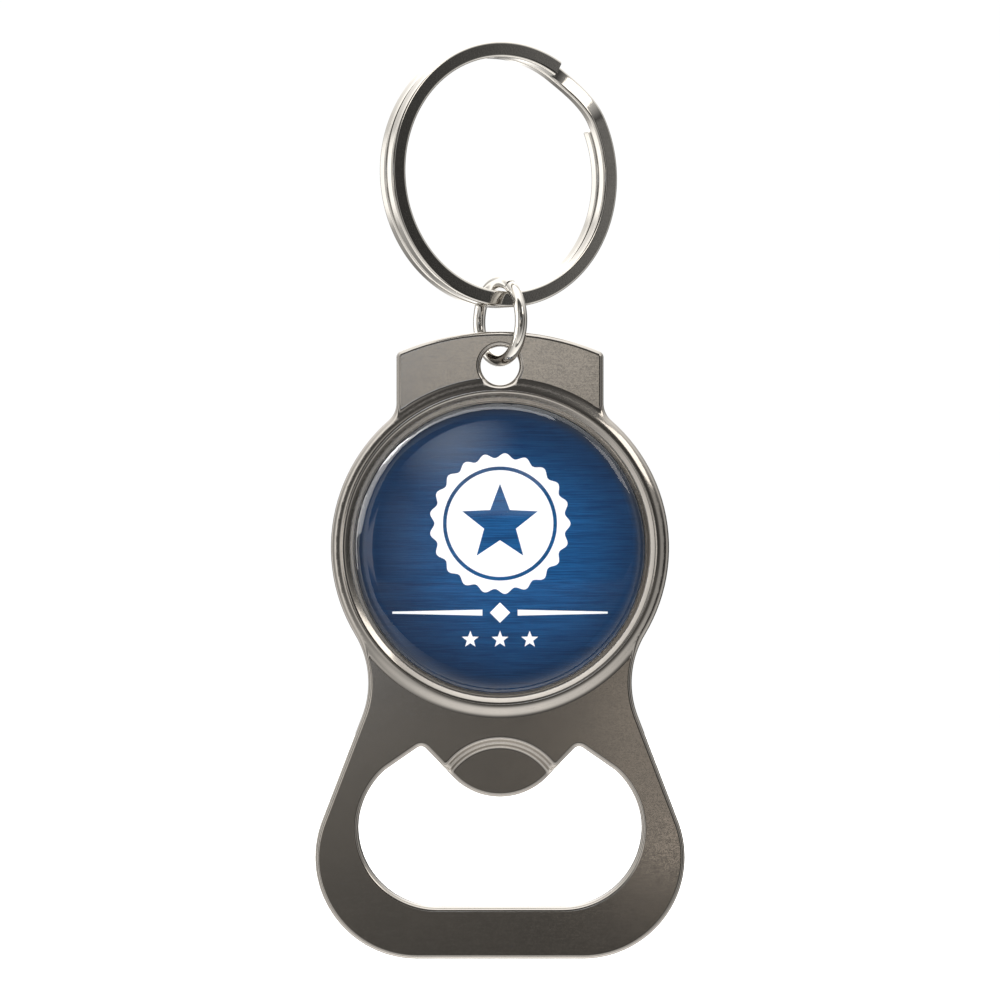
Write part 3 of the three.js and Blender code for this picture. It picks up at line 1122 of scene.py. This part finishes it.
def casting_lights(casting_piece):
    """Small lamps close to the card for the casting alone: one for the left of the bezel's crest,
    one for the right shoulder and a warm glint on the right hip."""
    only = gathered("casting_only", [casting_piece])
    gap_to_card = 0.02
    y = card.y + gap_to_card
    white = (1, 1, 1)
    warm = (1.0, 0.88, 0.76)
    for name, (x, z), width, height, radiance, tint in (
        ("crest_light", (-0.116, -0.0675), 0.108, 0.055, 1.2, white),
        ("shoulder_light", (0.0555, -0.112), 0.049, 0.084, 0.36, warm),
        ("hip_light", (0.056, -0.151), 0.026, 0.03, 1.2, warm),
    ):
        softbox(name, (x, y, z), (x, 0, z), width, height, radiance, tint, only)


def dome_lights(resin):
    """Two broad lamps for the resin alone, which veil its shoulder at the upper left and the top."""
    only = gathered("resin_only", [resin])
    lamp_from("left_veil", -62, 25, width=1.1, height=1.0, radiance=4.0, only=only)
    lamp_from("top_veil", -12, 46, width=1.2, height=0.32, radiance=4.0, only=only)


def emblem_light(lit, shading):
    """A lamp for the disc and its print alone. Only the casting shades it, so that it reaches them
    through the resin."""
    lamp = lamp_from("emblem_light", -30, 40, width=0.5, height=0.5, radiance=14.5,
                     only=gathered("under_resin", lit))
    lamp.light_linking.blocker_collection = gathered("print_flags", shading)


# Room light on each side, by how far the direction lies behind the object: -1 is straight back
# past the camera, 0 is square to the side and 1 is straight on past the object.
ROOM = {
    "right": [(-1.0, 0.12), (-0.9, 0.1), (-0.84, 0.2), (-0.76, 0.55), (-0.67, 0.55), (-0.6, 0.05),
              (-0.455, 0.03), (-0.435, 0.06), (-0.415, 0.26), (-0.4, 0.22), (-0.385, 0.04),
              (-0.3, 0.04), (-0.22, 0.6), (0.25, 0.7), (0.4, 0.12), (1.0, 0.12)],
    "up": [(-1.0, 0.3), (-0.94, 0.12), (-0.67, 0.1), (-0.6, 2.2), (0.95, 2.2), (1.0, 1.3)],
    "left": [(-1.0, 0.9), (-0.92, 1.2), (-0.87, 1.1), (-0.81, 0.4), (-0.77, 0.13), (-0.66, 0.13),
             (-0.59, 1.6), (-0.5, 1.6), (-0.44, 0.9), (-0.25, 0.55), (0.22, 0.55), (0.36, 1.8),
             (0.48, 1.8), (0.53, 0.6), (0.72, 0.35), (1.0, 0.4)],
    "down": [(-1.0, 0.12), (-0.98, 0.13), (-0.9, 0.4), (-0.78, 1.1), (-0.66, 1.5), (-0.63, 1.4),
             (-0.6, 0.1), (-0.5, 0.1), (-0.46, 1.5), (0.3, 2.0), (0.43, 1.8), (0.52, 0.25),
             (0.75, 0.25), (0.88, 0.9), (0.96, 2.0), (0.99, 0.15), (1.0, 0.15)],
}


def surroundings():
    """The studio beyond the lamps. Its four sides have light of their own, and they blend by how
    far the direction leans each way."""
    world = bpy.data.worlds.new("studio")
    world.use_nodes = True
    bpy.context.scene.world = world
    nodes = Nodes.of_tree(world.node_tree)
    where = nodes.add("ShaderNodeTexCoord").outputs["Generated"]
    split = nodes.add("ShaderNodeSeparateXYZ", {0: where})
    x, z = split.outputs["X"], split.outputs["Z"]
    behind = nodes.ramp(split.outputs["Y"], -1, 1, kind="LINEAR")
    nearly_zero = 1e-6
    squares = nodes.math("ADD", nodes.math("MULTIPLY", x, x), nodes.math("MULTIPLY", z, z))
    squares = nodes.math("MAXIMUM", squares, nearly_zero)
    total = 0.0
    for side, lean, sign in (("right", x, 1), ("left", x, -1), ("up", z, 1), ("down", z, -1)):
        one_way = nodes.math("MAXIMUM", nodes.math("MULTIPLY", lean, sign), 0.0)
        weight = nodes.math("DIVIDE", nodes.math("MULTIPLY", one_way, one_way), squares)
        shade = nodes.add("ShaderNodeValToRGB", {"Fac": behind})
        stops = [((at + 1) / 2, colour(grey, grey, grey)) for at, grey in ROOM[side]]
        set_stops(shade.color_ramp, stops)
        part = nodes.math("MULTIPLY", weight, shade.outputs["Color"])
        total = nodes.math("ADD", total, part)
    background = world.node_tree.nodes["Background"]
    nodes.put(background.inputs["Strength"], total)
    nodes.put(background.inputs["Color"], colour(1.0, 0.98, 0.95))


def camera():
    """Straight on, from the front, at the middle of the object's height."""
    low, high = cad_box
    middle = (low + high) / 2
    object_share = 0.916
    frame_width = (high.z - low.z) / object_share
    data = bpy.data.cameras.new("camera")
    data.sensor_width = 36
    data.lens = data.sensor_width * CAMERA_DISTANCE / frame_width
    data.clip_start = 0.01
    view = bpy.data.objects.new("camera", data)
    view.location = (0, -CAMERA_DISTANCE, middle.z)
    view.rotation_euler = (QUARTER, 0, 0)
    bpy.context.scene.collection.objects.link(view)
    bpy.context.scene.camera = view


# ------------------------------------------------------------------------------------------------
# Scene
# ------------------------------------------------------------------------------------------------

gunmetal = plated_metal(
    "gunmetal", colour(0.40, 0.38, 0.355), colour(0.42, 0.397, 0.368), roughness=0.1, grain=0.05,
)
nickel = plated_metal(
    "nickel", colour(0.58, 0.56, 0.53), colour(0.64, 0.62, 0.58), roughness=0.07, grain=0.1,
)

body = casting(gunmetal)
round_sheet("film", film_low, film_high, "adhesive", adhesive(), "adhesive_film")
disc = round_sheet("disc", disc_low, disc_high, "blue_aluminium", brushed_blue(), "emblem_disc")
emblem = printed_emblem(white_ink())
resin = resin_dome(clear_resin())
jump_link = link(nickel)
key_ring(nickel)

pale_floor()
backdrop()
reflector()
lights(jump_link, resin)
casting_lights(body)
dome_lights(resin)
emblem_light([disc, emblem], [body])
surroundings()
camera()
bpy.context.scene.view_settings.view_transform = "Standard"
